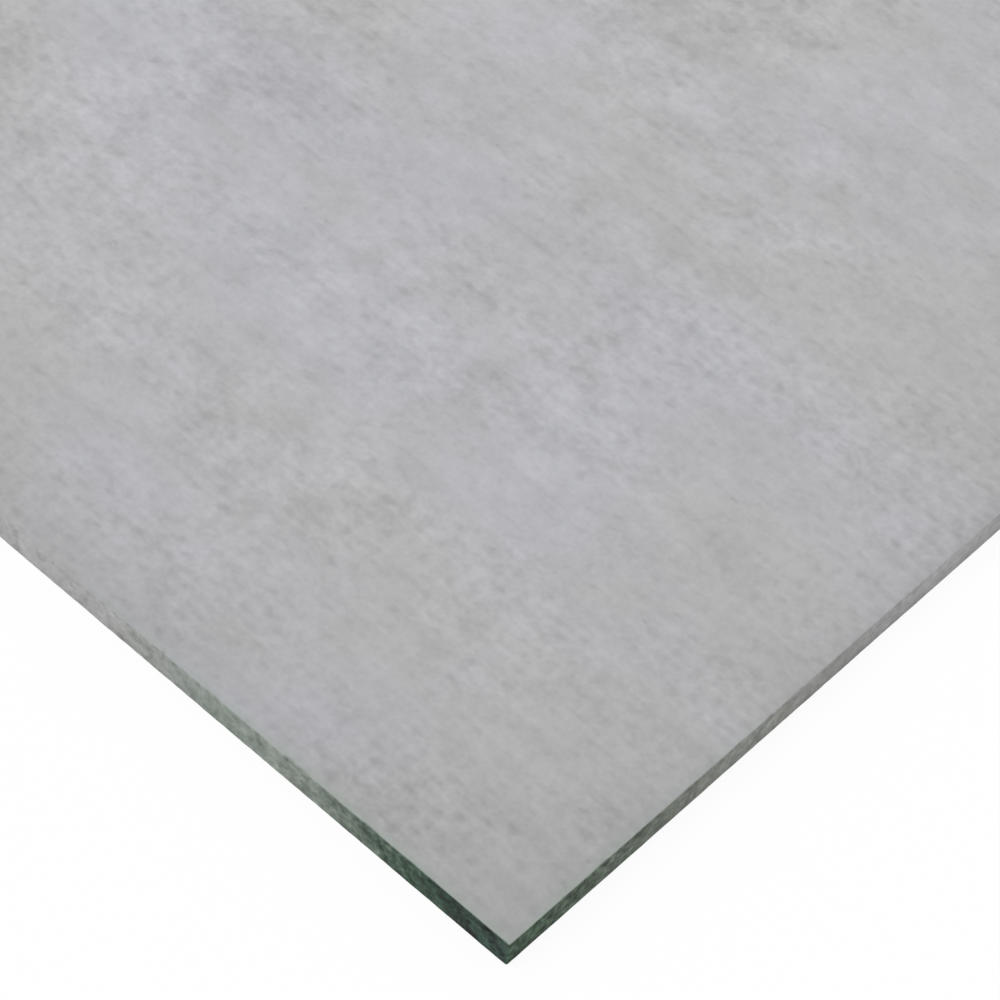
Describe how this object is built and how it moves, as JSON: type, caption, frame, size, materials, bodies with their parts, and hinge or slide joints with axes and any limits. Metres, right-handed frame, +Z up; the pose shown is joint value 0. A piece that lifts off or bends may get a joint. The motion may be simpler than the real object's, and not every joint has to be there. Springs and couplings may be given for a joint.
{
  "type": "fiber cement board",
  "caption": "Flat rectangular fiber cement sheet with square-cut, lightly eased edges, for lining or cladding walls, ceilings and floors.",
  "frame": {"origin": "middle of the underside, on the surface that the sheet lies on", "axes": "+X along the length, the direction of manufacture; +Y across the width; +Z up, out of the smooth face"},
  "size_m": [2.44, 1.22, 0.006],
  "materials": {
    "fiber_cement": "matte"
  },
  "bodies": {
    "root": {"board": "fiber_cement"}
  },
  "joints": []
}
